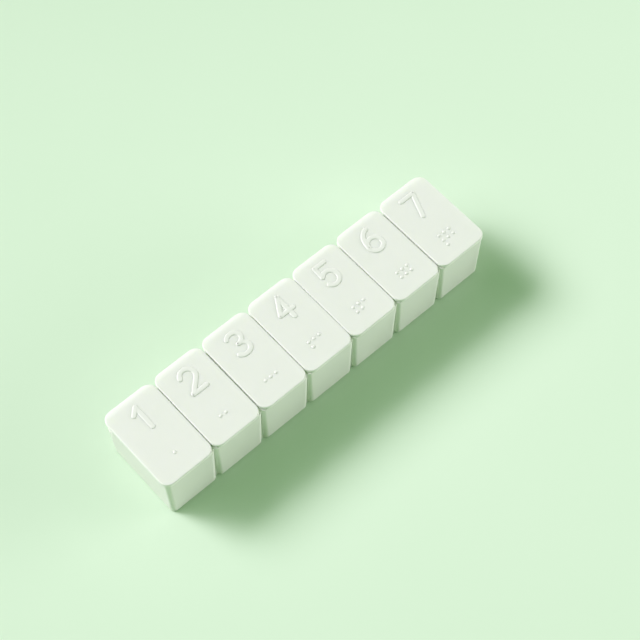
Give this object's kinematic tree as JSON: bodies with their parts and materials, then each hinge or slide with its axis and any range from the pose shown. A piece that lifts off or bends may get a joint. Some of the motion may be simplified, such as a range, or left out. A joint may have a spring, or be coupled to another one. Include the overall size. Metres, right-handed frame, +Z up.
{
  "type": "weekly pill box",
  "caption": "Long moulded pill tray with a row of rounded cups, each closed by its own flat lid that clips to a hinge bar along the back and lifts at the front edge.",
  "frame": {"origin": "on the surface that the box stands on, under the middle of the closed box", "axes": "+X along the row of cups from the first to the last, +Y from the opening edge to the hinge edge, +Z up"},
  "size_m": [0.152, 0.0364, 0.026],
  "materials": {
    "tray_plastic": "fine satin moulded texture",
    "lid_plastic": "fine satin moulded texture"
  },
  "bodies": {
    "tray": {"cup_tray": "tray_plastic"},
    "lid_1": {"lid_1": "lid_plastic"},
    "lid_2": {"lid_2": "lid_plastic"},
    "lid_3": {"lid_3": "lid_plastic"},
    "lid_4": {"lid_4": "lid_plastic"},
    "lid_5": {"lid_5": "lid_plastic"},
    "lid_6": {"lid_6": "lid_plastic"},
    "lid_7": {"lid_7": "lid_plastic"}
  },
  "joints": [
    {"name": "lid_1_hinge", "type": "hinge", "parent": "tray", "child": "lid_1", "pos_m": [-0.0645, 0.01605, 0.0226], "axis": [-1, 0, 0], "range_deg": [0, 120]},
    {"name": "lid_2_hinge", "type": "hinge", "parent": "tray", "child": "lid_2", "pos_m": [-0.043, 0.01605, 0.0226], "axis": [-1, 0, 0], "range_deg": [0, 120]},
    {"name": "lid_3_hinge", "type": "hinge", "parent": "tray", "child": "lid_3", "pos_m": [-0.0215, 0.01605, 0.0226], "axis": [-1, 0, 0], "range_deg": [0, 120]},
    {"name": "lid_4_hinge", "type": "hinge", "parent": "tray", "child": "lid_4", "pos_m": [0, 0.01605, 0.0226], "axis": [-1, 0, 0], "range_deg": [0, 120]},
    {"name": "lid_5_hinge", "type": "hinge", "parent": "tray", "child": "lid_5", "pos_m": [0.0215, 0.01605, 0.0226], "axis": [-1, 0, 0], "range_deg": [0, 120]},
    {"name": "lid_6_hinge", "type": "hinge", "parent": "tray", "child": "lid_6", "pos_m": [0.043, 0.01605, 0.0226], "axis": [-1, 0, 0], "range_deg": [0, 120]},
    {"name": "lid_7_hinge", "type": "hinge", "parent": "tray", "child": "lid_7", "pos_m": [0.0645, 0.01605, 0.0226], "axis": [-1, 0, 0], "range_deg": [0, 120]}
  ]
}
